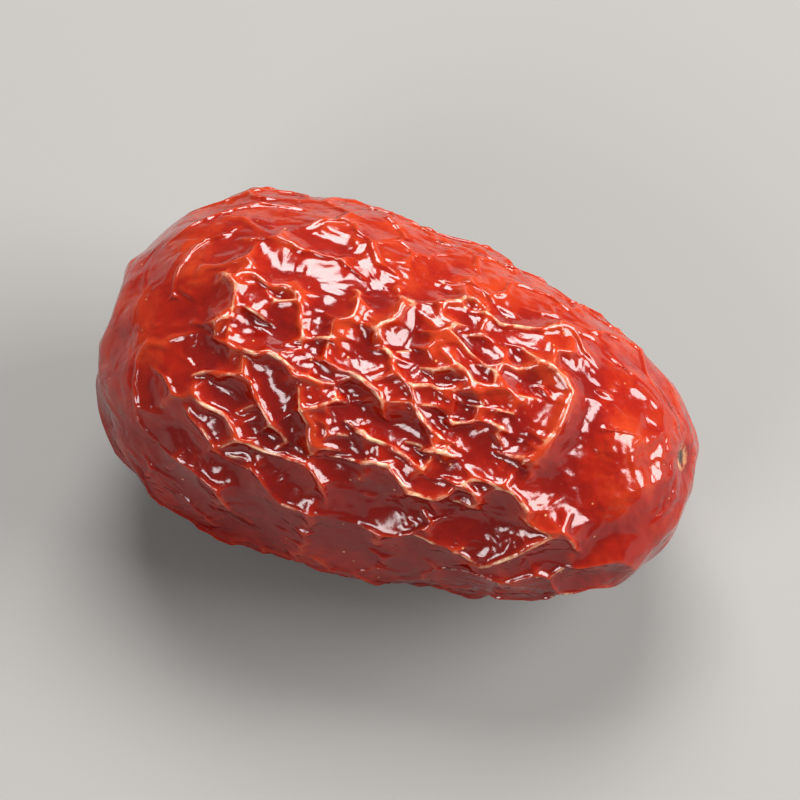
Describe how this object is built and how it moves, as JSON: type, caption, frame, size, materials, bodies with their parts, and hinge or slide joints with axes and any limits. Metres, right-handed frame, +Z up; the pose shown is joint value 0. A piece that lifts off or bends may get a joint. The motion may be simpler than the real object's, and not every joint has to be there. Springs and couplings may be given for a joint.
{
  "type": "dried jujube",
  "caption": "Dried jujube lying on its side, an oval fruit with a wrinkled glossy skin and a stub of stalk in the hollow of its stem end.",
  "frame": {"origin": "on the surface that the fruit lies on, under the middle of the fruit", "axes": "+X along the fruit from its stem end to its blossom end, +Z up, +Y to the left of someone looking along +X"},
  "size_m": [0.0458, 0.028, 0.0274],
  "materials": {
    "dried_skin": "waxy gloss, deep red, darker toward the stem end and in the folds",
    "dry_stalk": "matt, dry and fibrous, tan"
  },
  "bodies": {
    "root": {"fruit": "dried_skin", "stalk": "dry_stalk"}
  },
  "joints": []
}
